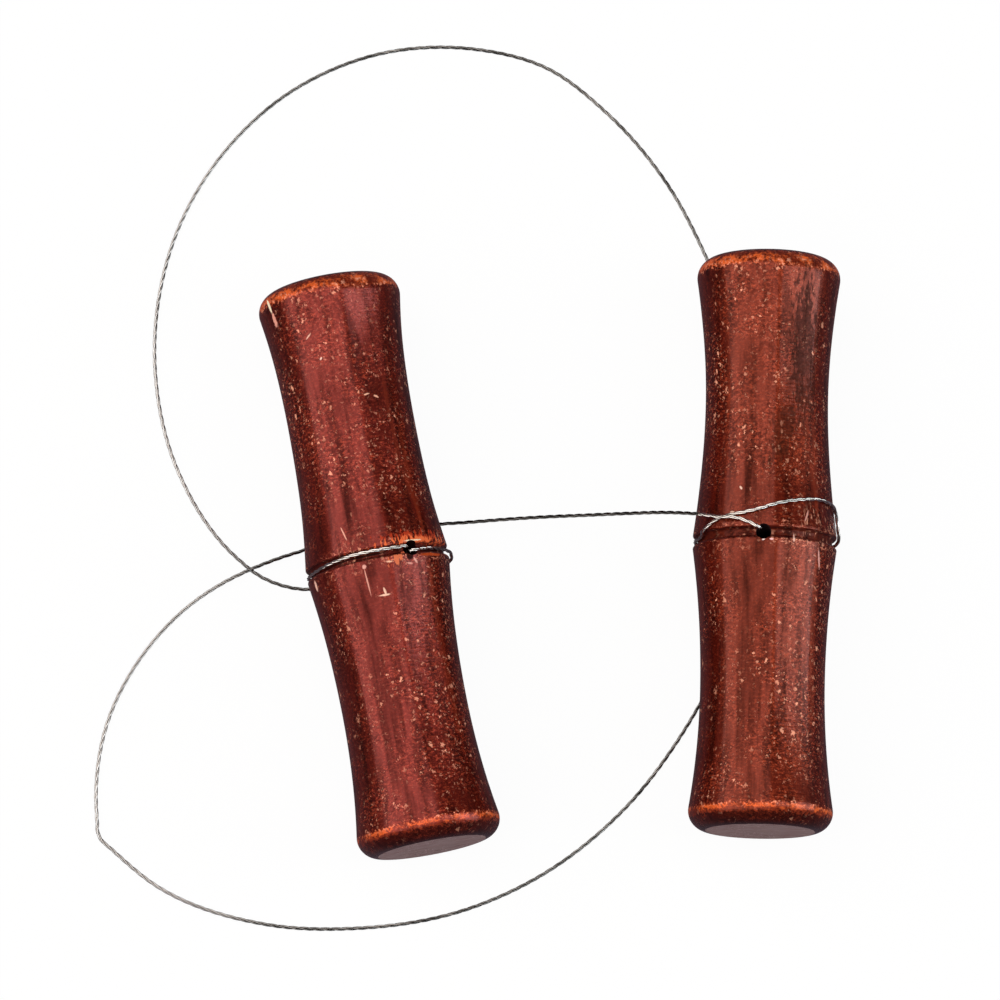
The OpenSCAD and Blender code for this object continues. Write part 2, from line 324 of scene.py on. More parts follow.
    def mouth_bend(self, lean, end, side, v, s, b):
        """The wire's bend of radius b at a mouth of the hole, from the hole into the groove."""
        seat = self.groove_seat(s)
        bend = []
        for a in (math.radians(d) for d in (0, 30, 60, 90)):
            out, aside = seat - b * (1 - math.sin(a)), v + b * (1 - math.cos(a))
            bend.append(hole_at(lean, end * out, side * aside, s))
        return bend

    def right_tie(self):
        """The right tie comes down on to the swelling and into the hole from above, out below, up
        round the left side, over the front above the groove, and round the right side back in."""
        d, lean, groove_r = self.wire_d, RIGHT_LEAN, self.groove_r
        over, lip, hole, groove = self.over_at, self.lip_at, hole_at, self.groove_at
        tail_v = self.hole_r - 0.8 * d
        top = over(-38.7, 4.12, 1.12)
        slant = math.radians(-38.7)  # where the wire comes down on to the swelling
        start = top + 3.4 * Vector((-math.cos(slant), 0.2, math.sin(slant)))
        way = [start, (start + top) / 2, top]
        way += [over(-30, 3.86, 0.96), over(-24, 3.56, 0.4), over(-18, 2.9, 0.08)]
        way += [over(-13.6, 2.26, 0.08), over(-10.5, 1.72, 0.12), over(-8.2, 1.24, 0.26)]
        down = [(groove_r + 1.3 * d, -1.04, 0.8), (groove_r, -0.76, 0.5)]
        down += [(groove_r - 2 * d, -0.6, 0.2), (groove_r / 2, -0.4, 0)]
        down += [(-groove_r / 2, -0.2, 0), (2.4 * d - groove_r, -0.2, 0)]
        way += [hole(lean, u, v * d, s * d) for u, v, s in down]
        way += self.mouth_bend(lean, -1, -1, 0.2 * d, 0, 1.2 * d)
        way += [groove(a) for a in range(-170, -70, 9)]
        way += [lip(-66, 0.2, 0.83), lip(-62.5, 0.6, 0.44), lip(-59.5, 1.1, 0.06)]
        crossing = [(-55, 1.8), (-46.5, 3.32), (-38.7, 4.12), (-30, 4.6), (-22.1, 4.94)]
        crossing += [(-14, 5.4), (-6.2, 6.02), (5.6, 7.34), (17.9, 8.4), (31.5, 9.16)]
        crossing += [(45.5, 9.74), (59.7, 9.66), (70, 9.32), (78, 8.4), (83.5, 6.6)]
        crossing += [(87, 4.4), (90, 2.6), (93.5, 1.24)]
        way += [over(a, n) for a, n in crossing]
        way += [lip(97, 0.56, 0.44), lip(101, 0.2, 0.83)] + [groove(a) for a in range(107, 166, 9)]
        way += reversed(self.mouth_bend(lean, -1, 1, tail_v, 0, 0.8 * d))
        way += [hole(lean, part * self.tail - groove_r, tail_v, 0) for part in (0.5, 1)]
        return way

    def left_tie(self):
        """The left tie goes up into the hole from below, out in front, round the right side and the
        back, round the left side and back into the hole beside itself."""
        d, lean, groove_r = self.wire_d, LEFT_LEAN, self.groove_r
        over, lip, hole, groove = self.over_at, self.lip_at, hole_at, self.groove_at
        beside = 0.97  # of the way to the groove's wall, so that two turns of wire lie side by side
        beside_s = beside * self.in_groove
        tail_v = self.hole_r - 0.8 * d
        start = hole(lean, -groove_r, 0, -beside_s) - Vector((0, 0, 0.5))
        way = [start + Vector((0, 0, up)) for up in (0, 0.25, 0.5 - 0.2 * d)]
        way += [hole(lean, u, 0, -beside_s) for u in (d - groove_r, 3 * d - groove_r, 0)]
        way += [hole(lean, groove_r - 3 * d, -0.2 * d, -beside_s)]
        way += self.mouth_bend(lean, 1, 1, -0.2 * d, -beside_s, 1.2 * d)
        way += [groove(39, -0.65), groove(46, -0.32), groove(55, -0.16), groove(64, -0.32)]
        way += [lip(72, -0.24, 0.78), lip(79, -0.3, 0.44), lip(86, -0.5, 0.11), over(93, -1, 0.1)]
        way += [over(101, -1.56, 0.16), over(109, -1.6, 0.1), over(117, -1.1)]
        way += [lip(123, -0.56, 0.44), lip(129, -0.2, 0.78)]
        shares = [0, 0, 0.16, 0.32, 0.52, 0.68, 0.81, beside, beside, beside, 0.8, 0.5, 0.16, -0.16]
        shares += [-0.5, -0.75, -0.81, -0.75, -0.5, -0.1, 0.3, 0.6, 0.85, 0.95] + 4 * [beside]
        way += [groove(136 + 9 * i, share) for i, share in enumerate(shares)]
        way += reversed(self.mouth_bend(lean, 1, -1, tail_v, beside_s, 0.8 * d))
        way += [hole(lean, groove_r - part * self.tail, -tail_v, beside_s) for part in (0.5, 1)]
        return way


def drawing(context):
    """The turning drawing for the sizes in the sidebar."""
    return Turning(context.scene.clay_cutter_handle, context.scene.clay_cutter_wire)


# The free wire's way over the table, as (x, y, height above lying flat).
DESCENT = [
    (15.3, 5.3, 12.5), (10.1, 5.8, 9.05), (4.9, 6.1, 6.15), (-0.3, 6.3, 3.85), (-5.6, 6.3, 2.05),
    (-10.9, 6.1, 0.85), (-16, 5.9, 0.2), (-20, 5.7, 0), (-24, 5.1, 0), (-28.5, 3.9, 0),
]
LEAD_LOOP = [
    (-32.5, 2.5, 0.02), (-36, 1.3, 0.3), (-39.6, -0.2, 0.57), (-43.5, -2.1, 0.2),
    (-47.5, -4.8, 0), (-53, -10.5, 0), (-58.5, -21, 0), (-59.8, -30, 0), (-59.6, -34, 0),
    (-59.5, -35.3, 0), (-59, -36.3, 0), (-57.9, -37.3, 0),
]
NEAR_LOOP = [
    (-51.5, -42.5, 0), (-37, -47.5, 0), (-26, -48, 0), (-11, -45.5, 0), (-2, -41.5, 0),
    (10.5, -31.5, 0), (17, -23, 0), (24.5, -8, 0), (27.5, 12, 0), (24.8, 32, 0), (21, 42.5, 0),
]
ARCH = [
    (15.5, 53, 0), (8, 62, 0), (-0.5, 68.5, 0), (-10, 71, 0), (-22, 70.5, 0), (-35.5, 64.5, 0),
    (-42.5, 58, 0), (-49.5, 46.5, 0), (-52, 37.5, 0), (-52.5, 26.5, 0), (-49.5, 13.5, 0),
    (-41.5, 1.5, 0), (-38, -1.2, 0), (-34, -2.6, 0),
]


def wire_way(turning):
    """The free wire's route from the right handle's tie to the left one's foot."""
    lie = turning.wire_d / 2 + TABLE_GAP
    left_foot = placed(turning.left_tie()[0], LEFT_AT, LEFT_TURN)
    rise = left_foot.z - lie
    back = Vector((math.cos(LEFT_TURN), math.sin(LEFT_TURN), 0))
    way = [placed(turning.right_tie()[0], RIGHT_AT, RIGHT_TURN)]
    way += [Vector(p) + Vector((0, 0, lie)) for p in DESCENT + LEAD_LOOP + NEAR_LOOP + ARCH]
    for a in (math.radians(d) for d in (90, 60, 30, 0)):
        foot = left_foot - rise * (1 - math.cos(a)) * back
        way.append(Vector((foot.x, foot.y, lie + rise * (1 - math.sin(a)))))
    return way


# ---- wire


def smooth_way(points, step):
    """One smooth curve through the points, resampled at even steps."""
    slopes = [(b - a).normalized() for a, b in zip(points, points[1:])]
    runs = [(b - a).length for a, b in zip(points, points[1:])]
    tangents = [
        (slopes[i] * runs[i - 1] + slopes[i - 1] * runs[i]) / (runs[i] + runs[i - 1])
        for i in range(1, len(runs))
    ]
    tangents = [2 * slopes[0] - tangents[0]] + tangents + [2 * slopes[-1] - tangents[-1]]
    fine = []
    for i, run in enumerate(runs):
        parts = max(4, math.ceil(run / step * 3))  # finer than the steps, which are cut from it
        for k in range(parts):
            t = k / parts
            fine.append(
                (2 * t**3 - 3 * t**2 + 1) * points[i]
                + (t**3 - 2 * t**2 + t) * run * tangents[i]
                + (3 * t**2 - 2 * t**3) * points[i + 1]
                + (t**3 - t**2) * run * tangents[i + 1]
            )
    fine.append(points[-1].copy())
    gone = [0.0]
    for a, b in zip(fine, fine[1:]):
        gone.append(gone[-1] + (b - a).length)
    count = round(gone[-1] / step)
    even, j = [], 0
    for i in range(count + 1):
        want = gone[-1] * i / count
        while j < len(gone) - 2 and gone[j + 1] < want:
            j += 1
        even.append(fine[j].lerp(fine[j + 1], (want - gone[j]) / (gone[j + 1] - gone[j])))
    return even


def skin(rows, sides, base=0):
    """Faces over rows of corners round a long shape, with both its ends closed."""
    faces, last = [], base + (rows - 1) * sides
    for row in range(base, last, sides):
        for k in range(sides):
            n = (k + 1) % sides
            faces.append((row + k, row + n, row + sides + n, row + sides + k))
    faces.append(tuple(base + k for k in reversed(range(sides))))
    faces.append(tuple(last + k for k in range(sides)))
    return faces


def twisted_strands(way, wire, first):
    """Corners and faces of round strands that turn round one another along the way."""
    wire_r = wire.diameter / MM / 2
    squeeze = math.sin(math.pi / wire.strands)
    strand_r = wire_r * squeeze / (1 + squeeze)
    off_centre = wire_r - strand_r
    pitch = wire.pitch / MM
    sides, count = wire.sides, len(way)
    heads = [(way[min(i + 1, count - 1)] - way[max(i - 1, 0)]).normalized() for i in range(count)]
    across, gone = [], [0.0]
    side = first
    for i, head in enumerate(heads):
        side = (side - side.dot(head) * head).normalized()
        across.append(side)
        if i:
            gone.append(gone[-1] + (way[i] - way[i - 1]).length)
    corners, faces = [], []
    for strand in range(wire.strands):
        base = len(corners)
        for i in range(count):
            turned = 2 * math.pi * (gone[i] / pitch + strand / wire.strands)
            out = math.cos(turned) * across[i] + math.sin(turned) * heads[i].cross(across[i])
            head = (heads[i] + 2 * math.pi * off_centre / pitch * heads[i].cross(out)).normalized()
            sideways = head.cross(out)
            middle = way[i] + off_centre * out
            for k in range(sides):
                a = 2 * math.pi * k / sides
                corners.append(middle + strand_r * (math.cos(a) * out + math.sin(a) * sideways))
        faces += skin(count, sides, base)
    return corners, faces


def new_piece(name, corners_mm, faces, material):
    """A mesh object at the origin with its place in its mesh."""
    mesh = bpy.data.meshes.new(name)
    mesh.from_pydata([tuple(c * MM for c in corner) for corner in corners_mm], [], faces)
    mesh.validate()
    mesh.shade_smooth()
    mesh.materials.append(material)
    piece = bpy.data.objects.new(name, mesh)
    bpy.context.scene.collection.objects.link(piece)
    return piece


# ---- finishes


# Sockets go by number where names repeat. Math and VectorMath: 0, 1 and 2 are the terms. MapRange:
# 0 value, 1 and 2 from, 3 and 4 to. Mix: 0 factor, 6 and 7 colours. TexNoise and TexVoronoi:
# 0 place, 2 scale, 3 detail, 4 roughness. Mapping: 0 place, 1 shift, 2 turn, 3 scale.
SMOOTH, TIMES = {"interpolation_type": "SMOOTHSTEP"}, {"operation": "MULTIPLY"}


def put(tree, kind, inputs=None, out=0, **settings):
    """Adds a node, sets it, links or fills its inputs, and gives back one of its outputs."""
    node = tree.nodes.new("ShaderNode" + kind)
    for name, value in settings.items():
        setattr(node, name, value)
    for socket, value in (inputs or {}).items():
        if isinstance(value, bpy.types.NodeSocket):
            tree.links.new(value, node.inputs[socket])
        else:
            node.inputs[socket].default_value = value
    return node.outputs[out] if node.outputs else node


def new_finish(name):
    """A material with an empty node tree."""
    material = bpy.data.materials.new(name)
    material.use_nodes = True
    material.node_tree.nodes.clear()
    return material, material.node_tree


def band(tree, value, start, full, last, end):
    """A mask that is 1 from full to last and falls to 0 at start and end."""
    rising = put(tree, "MapRange", {0: value, 1: start, 2: full}, **SMOOTH)
    falling = put(tree, "MapRange", {0: value, 1: last, 2: end, 3: 1.0, 4: 0.0}, **SMOOTH)
    return put(tree, "Math", {0: rising, 1: falling}, **TIMES)


def drawn_out(tree, place, stretch, scale, detail, rough):
    """Noise over the wood, squeezed along each axis as stretch says."""
    stretched = put(tree, "VectorMath", {0: place, 1: stretch}, **TIMES)
    return put(tree, "TexNoise", {0: stretched, 2: scale, 3: detail, 4: rough})


def patch(tree, place, at, turn, half, ragged, rough):
    """A mask over one small patch: 1 in its middle, its edge as ragged as rough says."""
    lie = {0: place, 1: at, 2: (0, 0, math.radians(turn)), 3: half}
    local = put(tree, "Mapping", lie, vector_type="TEXTURE")
    far = put(tree, "VectorMath", {0: local}, out=1, operation="LENGTH")
    frayed = put(tree, "Math", {0: ragged, 1: rough, 2: far}, operation="MULTIPLY_ADD")
    inner = 0.5 * rough + 0.7  # the noise's own middle, and most of the patch
    return put(tree, "MapRange", {0: frayed, 1: inner, 2: inner + 0.35, 3: 1.0, 4: 0.0})


def coated(tree, colour, coats):
    """A colour with coats of other colours over it, each laid on through its own mask."""
    for mask, coat in coats:
        under, over = (
            c if isinstance(c, bpy.types.NodeSocket) else (*c, 1) for c in (colour, coat)
        )
        colour = put(tree, "Mix", {0: mask, 6: under, 7: over}, out=2, data_type="RGBA")
    return colour


# Places along a handle from its middle, in mm. A band starts, is full, is full last and ends. At
# a rim: thin stain, a dark line and rubbed wood. The far rims are the upper ones in the picture.
FAR_RIM = ((35.4, 36.0, 37.3, 37.9), (38.0, 38.1, 38.2, 38.3), (35.6, 36.0, 36.8, 37.3))
NEAR_RIM = ((35.2, 35.5, 36.3, 36.8), (36.2, 36.8, 38.0, 38.3), (35.45, 35.65, 35.85, 36.2))
LIPS = (0.7, 0.85, 1.1, 2.0)
# The groove's painted shade fades out between the two places of its edge.
GROOVE_SHADE_EDGE, FACE_EDGE, FACE = (0.5, 0.8), (37.7, 37.95), (38.07, 38.09)
# Ray flecks: width and length of a cell in mm, how far a fleck reaches in it, the share of cells
# without one, and its strength.
FLECKS = ((1.5, 2.0, 0.2, 0.74, 1.0), (0.8, 1.05, 0.27, 0.73, 1.0), (0.4, 0.5, 0.36, 0.68, 0.6))
# How grain is squeezed across and drawn out along a handle, and the reach of a hole's painted shade
# in mm.
GRAIN, BORE = (0.8, 0.06, 0.8), 1.02


def lacquered_beech(name, finish, sheen, at, turn, lean, scored, marks):
    """Turned beech under a red-brown stain and a glossy lacquer. The stain lies unevenly: it leaves
    the beech's short ray flecks pale and gathers in the pores. The lathe's ripples run round the
    handle. The rims and the groove's lips are rubbed down to the orange of the bare wood."""
    material, tree = new_finish(name)
    lie = {0: put(tree, "TexCoord", out=3), 1: at * MM, 2: (0, 0, turn), 3: (MM, MM, MM)}
    place = put(tree, "Mapping", lie, vector_type="TEXTURE")
    along = put(tree, "SeparateXYZ", {0: place}, out=1)
    from_middle = put(tree, "Math", {0: along}, operation="ABSOLUTE")

    # Grain lines 1 to 2 mm apart that run 15 mm and more along the handle, faint under the stain.
    grain = drawn_out(tree, place, GRAIN, 1.0, 5.0, 0.6)
    lines = put(tree, "MapRange", {0: grain, 1: 0.42, 2: 0.66, 4: 0.7}, **SMOOTH)

    # Mottling of the stain: grains 0.2 to 0.8 mm across, a little drawn out round the handle.
    mottle = drawn_out(tree, place, (1.0, 1.5, 1.0), 2.0, 4.0, 0.8)
    cluster = put(tree, "TexNoise", {0: place, 2: 0.13, 3: 4.0, 4: 0.65})
    uneven = put(tree, "MapRange", {0: cluster, 1: 0.42, 2: 0.58, 3: 0.3, 4: 1.1})
    mottle = put(tree, "Math", {0: mottle, 1: -0.5}, operation="ADD")
    mottle = put(tree, "Math", {0: mottle, 1: uneven, 2: 0.5}, operation="MULTIPLY_ADD")
    thin_spots = put(tree, "MapRange", {0: mottle, 1: 0.5, 2: 0.64})
    pores = put(tree, "MapRange", {0: mottle, 1: 0.34, 2: 0.46, 3: 0.8, 4: 0.0})

    # Streaks some 4 mm wide where the stain is deeper or the lacquer has lost its gloss.
    streaks = drawn_out(tree, place, GRAIN, 0.32, 3.0, 0.7)
    deep = put(tree, "MapRange", {0: streaks, 1: 0.52, 2: 0.66, 4: 0.6})
    pale = put(tree, "MapRange", {0: streaks, 1: 0.3, 2: 0.42, 3: 0.55, 4: 0.0})
    coats = [(lines, finish.streak), (thin_spots, finish.thin), (pores, finish.streak)]
    coats += [(deep, finish.streak), (pale, finish.thin)]

    # Ray flecks: wisps 0.15 to 0.6 mm across, bent and broken, in loose clusters.
    ragged = put(tree, "TexNoise", {0: place, 2: 2.2, 3: 4.0, 4: 0.65})
    bend = {0: ragged.node.outputs[1], 1: (1.3, 1.3, 1.3)}
    sway = put(tree, "VectorMath", bend, **TIMES)
    swayed = put(tree, "VectorMath", {0: place, 1: sway}, operation="ADD")
    clustered = put(tree, "MapRange", {0: cluster, 1: 0.41, 2: 0.58})
    for width, length, reach, share, strength in FLECKS:
        cell = (1 / width, 1 / length, 1 / width)
        cells = put(tree, "VectorMath", {0: swayed, 1: cell}, **TIMES)
        spots = put(tree, "TexVoronoi", {0: cells, 2: 1.0}, feature="F1")
        near = put(tree, "MapRange", {0: spots, 1: reach * 0.7, 2: reach, 3: 1.0, 4: 0.0})
        chosen = put(tree, "SeparateColor", {0: spots.node.outputs[1]})
        flecks = put(tree, "MapRange", {0: chosen, 1: share, 2: share + 0.16})
        for part in (near, clustered, strength):
            flecks = put(tree, "Math", {0: flecks, 1: part}, **TIMES)
        coats.append((flecks, finish.fleck))

    # Ripples from the turning tool, 0.3 to 0.5 mm apart, round the handle.
    rings = drawn_out(tree, place, (0.25, 2.6, 0.25), 1.0, 3.0, 0.7)

    # Rims: the stain is thin over the rounding, and a ragged line along its foot is rubbed bare,
    # here and there to the pale wood.
    shaken = put(tree, "Math", {0: ragged, 1: 2.6, 2: -1.3}, operation="MULTIPLY_ADD")
    broken = put(tree, "TexNoise", {0: place, 2: 0.45, 3: 5.0, 4: 0.8})
    thin_left = put(tree, "MapRange", {0: broken, 1: 0.4, 2: 0.55, 3: 0.2, 4: 0.75})
    worn_left = put(tree, "MapRange", {0: broken, 1: 0.44, 2: 0.55, 4: 0.95})
    bare = put(tree, "MapRange", {0: ragged, 1: 0.53, 2: 0.63, 4: 0.9})
    rubbed = ((finish.thin, thin_left), (finish.burnt, 0.6), (finish.worn, worn_left))
    for way, bands in (("ADD", FAR_RIM), ("SUBTRACT", NEAR_RIM)):
        wobble = put(tree, "Math", {0: shaken, 1: along}, operation=way)
        for (tint, left), edges in zip(rubbed, bands):
            line = band(tree, wobble, *edges)
            line = put(tree, "Math", {0: line, 1: left}, **TIMES)
            coats.append((line, tint))
        line = put(tree, "Math", {0: line, 1: bare}, **TIMES)
        coats.append((line, finish.fleck))

    # End faces: sawn end grain inside a dark edge, pale partly as painted reflection of the table.
    edge = put(tree, "MapRange", {0: from_middle, 1: FACE_EDGE[0], 2: FACE_EDGE[1]})
    face = put(tree, "MapRange", {0: from_middle, 1: FACE[0], 2: FACE[1]})
    saw = drawn_out(tree, place, (0.35, 1.0, 2.2), 1.0, 3.0, 0.6)
    sawn = put(tree, "MapRange", {0: saw, 1: 0.45, 2: 0.7, 4: 0.5})
    end = coated(tree, finish.end_grain_and_reflection, [(sawn, finish.thin)])
    coats += [(edge, finish.burnt), (face, end)]

    # Groove: painted shade darkens it, and its lips are rubbed pale here and there.
    dark = {0: from_middle, 1: GROOVE_SHADE_EDGE[0], 2: GROOVE_SHADE_EDGE[1], 3: 0.45, 4: 0.0}
    groove = put(tree, "MapRange", dark)
    chipped = put(tree, "MapRange", {0: mottle, 1: 0.54, 2: 0.66})
    lips = band(tree, from_middle, *LIPS)
    lips = put(tree, "Math", {0: lips, 1: chipped}, **TIMES)
    coats += [(groove, finish.streak), (lips, finish.fleck)]

    # Lengthwise scores, 0.2 mm wide and 1 to 2 mm long, in one patch of the handle.
    wisps = drawn_out(tree, place, (2.6, 0.7, 2.6), 1.0, 3.0, 0.6)
    scored_at, scored_half = scored
    scored_patch = patch(tree, place, scored_at, 0, scored_half, wisps, 2.0)
    scores = put(tree, "MapRange", {0: wisps, 1: 0.58, 2: 0.68, 4: 0.9})
    scores = put(tree, "Math", {0: scores, 1: scored_patch}, **TIMES)
    coats.append((scores, finish.fleck))

    # Scratches, rubbed patches, dirt, painted shadow under the left tie's wire and painted glints
    # by the right hole, each at its own place on the handle. They are dull, like the dusty groove.
    dull = put(tree, "Math", {0: groove, 1: 1.3}, **TIMES)
    for mark_at, mark_turn, half, tint, strength, rough in marks:
        edge_noise = wisps if rough > 2 else ragged
        mark = patch(tree, place, mark_at, mark_turn, half, edge_noise, rough)
        mark = put(tree, "Math", {0: mark, 1: strength}, **TIMES)
        dull = put(tree, "Math", {0: dull, 1: mark}, operation="MAXIMUM")
        coats.append((mark, linear(tint)))

    # The drilled hole: painted shade, near black, and dull.
    bore = {0: place, 2: (0, lean, 0), 3: (BORE, BORE, 1000)}
    drilled = put(tree, "Mapping", bore, vector_type="TEXTURE")
    reach = put(tree, "VectorMath", {0: drilled}, out=1, operation="LENGTH")
    hole = put(tree, "MapRange", {0: reach, 1: 0.98, 2: 1.0, 3: 1.0, 4: 0.0})
    dull = put(tree, "Math", {0: dull, 1: hole}, operation="MAXIMUM")
    coats.append((hole, finish.hole_shade))

    # Relief under and in the lacquer: slow waves, the tool's ripples and dimples of the grain.
    wave = put(tree, "Bump", {"Strength": 0.6, "Distance": 0.06 * MM, "Height": streaks})
    tooled = {"Strength": 0.4, "Distance": 0.05 * MM, "Height": rings, "Normal": wave}
    ripple = put(tree, "Bump", tooled)
    dimpled = {"Strength": 0.7, "Distance": 0.06 * MM, "Height": mottle, "Normal": ripple}
    dimple = put(tree, "Bump", dimpled)

    # Gloss: rougher where it is dull, and the lacquer mirrors less on dark streaks and marks.
    gloss = put(tree, "MapRange", {0: mottle, 1: 0.35, 2: 0.65, 3: 0.14, 4: 0.3})
    gloss = put(tree, "Math", {0: gloss, 1: dull}, operation="MAXIMUM")
    sheen_left = put(tree, "MapRange", {0: mottle, 1: 0.38, 2: 0.54, 3: 0.4, 4: 1.0})
    for value, start, full, least in (
        (streaks, 0.5, 0.66, 0.45), (grain, 0.45, 0.62, 0.5), (dull, 0.0, 1.0, 0.15),
    ):
        kept = put(tree, "MapRange", {0: value, 1: start, 2: full, 3: 1.0, 4: least})
        sheen_left = put(tree, "Math", {0: sheen_left, 1: kept}, **TIMES)
    coat_left = put(tree, "Math", {0: sheen_left, 1: 0.3}, **TIMES)
    lacquer = {
        "Base Color": coated(tree, finish.body, coats), "Normal": dimple, "Roughness": gloss,
        "IOR": 1.78, "Specular IOR Level": sheen_left, "Specular Tint": (*sheen, 1),
        "Coat Weight": coat_left, "Coat Roughness": 0.1, "Coat Normal": ripple,
        "Sheen Weight": 0.07, "Sheen Roughness": 0.3, "Sheen Tint": (*finish.dust, 1),
    }
    put(tree, "OutputMaterial", {0: put(tree, "BsdfPrincipled", lacquer)})
    return material


# Where the free wire is painted darker, up the table, and where it turns paler, across it, in mm.
DARKER_STRETCH, PALER_LEFT = (-4, 0, 7, 11), (-46, -36)


def drawn_steel(name, bright_colour, dull_colour, colours_along=None):
    """Drawn and twisted steel wire: bright where it is clean and greyer where use has dulled it, in
    stretches a few millimetres long. With the middle and far colours, it is darker where it passes
    straight between the handles and paler at its far left."""
    material, tree = new_finish(name)
    place = put(tree, "TexCoord", out=3)
    dull = put(tree, "TexNoise", {0: place, 2: 0.35 / MM, 3: 3.0, 4: 0.6})
    coats = [(put(tree, "MapRange", {0: dull, 1: 0.35, 2: 0.65}), dull_colour)]
    if colours_along:
        middle_colour, far_colour = colours_along
        across = put(tree, "SeparateXYZ", {0: place})
        middle = band(tree, across.node.outputs[1], *(mm * MM for mm in DARKER_STRETCH))
        middle = put(tree, "Math", {0: middle, 1: 0.65}, **TIMES)
        start, end = (mm * MM for mm in PALER_LEFT)
        far = put(tree, "MapRange", {0: across, 1: start, 2: end, 3: 0.4, 4: 0.0})
        coats += [(middle, middle_colour), (far, far_colour)]
    colour = coated(tree, bright_colour, coats)
    gloss = put(tree, "MapRange", {0: dull, 1: 0.3, 2: 0.7, 3: 0.11, 4: 0.2})
    steel = {"Base Color": colour, "Metallic": 1.0, "Roughness": gloss}
    put(tree, "OutputMaterial", {0: put(tree, "BsdfPrincipled", steel)})
    return material


# Marks on a handle, in its own millimetres: middle, turn in degrees, half sizes, colour, strength
# and how ragged the edge is. The scored patch is a middle and half sizes.
LEFT_SCORED = ((-3.0, 0.6, 8.5), (3.6, 2.6, 3.0))
LEFT_MARKS = [
    ((-7.75, 35.7, 4.8), 9, (0.15, 1.3, 1.4), "#FFF0D0", 1.0, 0.6),
    ((-7.4, 33.7, 5.3), 9, (0.22, 1.1, 1.4), "#F0A894", 0.95, 1.5),
    ((5.9, 1.25, 7.2), 0, (4.2, 0.7, 4.5), "#B83C20", 0.85, 8.0),
    ((5.4, 1.1, 7.8), 0, (3.4, 0.4, 4.5), "#EE7444", 0.9, 8.0),
    ((5.0, 0.98, 7.8), 0, (1.2, 0.12, 4.0), "#FFE8C4", 1.0, 2.0),
    ((2.7, -1.2, 9.0), 0, (0.9, 0.5, 3.0), "#E47850", 0.9, 9.0),
    ((1.5, -1.45, 9.2), 0, (0.4, 0.14, 2.0), "#F8C8A8", 0.9, 2.0),
    ((4.9, -1.75, 8.0), 20, (0.16, 0.5, 2.0), "#F4B8A8", 0.9, 1.5),
    ((4.1, -2.0, 8.3), 80, (0.14, 0.45, 2.0), "#F0A898", 0.8, 2.0),
    ((4.2, -1.05, 8.3), 0, (0.5, 0.6, 2.0), "#220707", 0.95, 1.5),
    # The next three near-black lines along the groove are painted shadow of the tie's wire.
    ((-5.6, -0.25, 7.0), 6, (2.8, 0.18, 4.0), "#180504", 0.9, 0.3),
    ((-1.4, -0.1, 8.4), 0, (3.2, 0.18, 4.0), "#180504", 0.9, 0.3),
    ((7.2, -0.05, 6.0), 0, (2.2, 0.6, 4.0), "#180504", 0.85, 0.6),
    ((7.0, -1.0, 6.2), 0, (1.7, 0.22, 3.0), "#B8481E", 0.9, 2.0),
    ((-3.7, 3.4, 8.4), 14, (0.1, 1.15, 0.9), "#F4B49C", 0.95, 0.6),
    ((-1.9, -1.55, 9.2), 0, (0.3, 0.3, 0.9), "#F0B0A0", 0.9, 1.0),
    ((-1.8, -3.6, 9.1), 4, (0.11, 2.1, 0.9), "#F0AC98", 0.85, 0.8),
    ((0.1, -5.62, 8.95), 0, (0.8, 0.15, 0.9), "#FFD0B4", 0.95, 1.0),
    ((0.2, -5.15, 8.95), 10, (0.16, 0.55, 0.9), "#FFD0B4", 0.9, 1.0),
    ((-8.45, -2.0, 4.1), 6, (0.14, 0.85, 1.2), "#F8C8B4", 0.95, 0.6),
    ((2.7, 21.2, 7.8), 10, (0.36, 0.13, 0.9), "#F8C0A0", 0.85, 2.0),
    ((3.8, 20.8, 7.3), -30, (0.36, 0.15, 0.9), "#F8B898", 0.85, 2.0),
    ((-3.4, 30.2, 7.8), -50, (0.13, 0.5, 0.9), "#F8C8B0", 0.9, 1.0),
    ((-2.4, 26.9, 8.3), -35, (0.15, 0.26, 0.9), "#FFD8C4", 0.9, 1.0),
]
RIGHT_SCORED = ((6.6, 1.0, 7.0), (3.6, 5.0, 5.0))
RIGHT_MARKS = [
    ((4.5, 25.5, 7.4), 0, (1.7, 10.5, 5.0), "#2C160E", 0.6, 3.0),
    ((1.9, 13.5, 8.4), -14, (1.7, 4.5, 4.0), "#30180F", 0.55, 3.0),
    ((3.5, -0.5, 8.8), 0, (0.18, 0.75, 0.9), "#F8C8B4", 0.95, 0.6),
    ((6.9, -3.2, 6.3), 4, (0.13, 1.7, 0.9), "#E8A89C", 0.9, 0.8),
    ((5.2, 2.6, 7.9), -16, (0.14, 1.0, 0.9), "#E0A090", 0.8, 1.0),
    # The next three near-white spots on the hole's near rim are painted glints.
    ((-1.3, -0.35, 9.5), -30, (0.15, 0.28, 0.7), "#FFE4DC", 0.95, 0.6),
    ((-0.5, -1.05, 9.5), 30, (0.26, 0.15, 0.7), "#FFE4DC", 0.95, 0.6),
    ((0.55, -1.0, 9.5), 0, (0.28, 0.16, 0.7), "#FFC8C4", 0.95, 0.6),
    ((-7.75, 1.0, 4.9), -30, (0.3, 0.2, 0.9), "#FFF0E0", 0.95, 1.0),
    ((-4.6, 2.7, 8.2), 0, (0.3, 0.14, 0.9), "#F8D0B8", 0.95, 1.0),
    ((-3.5, 5.9, 8.3), 30, (0.16, 0.3, 0.9), "#FFD8C0", 0.95, 0.8),
]


# ---- pieces


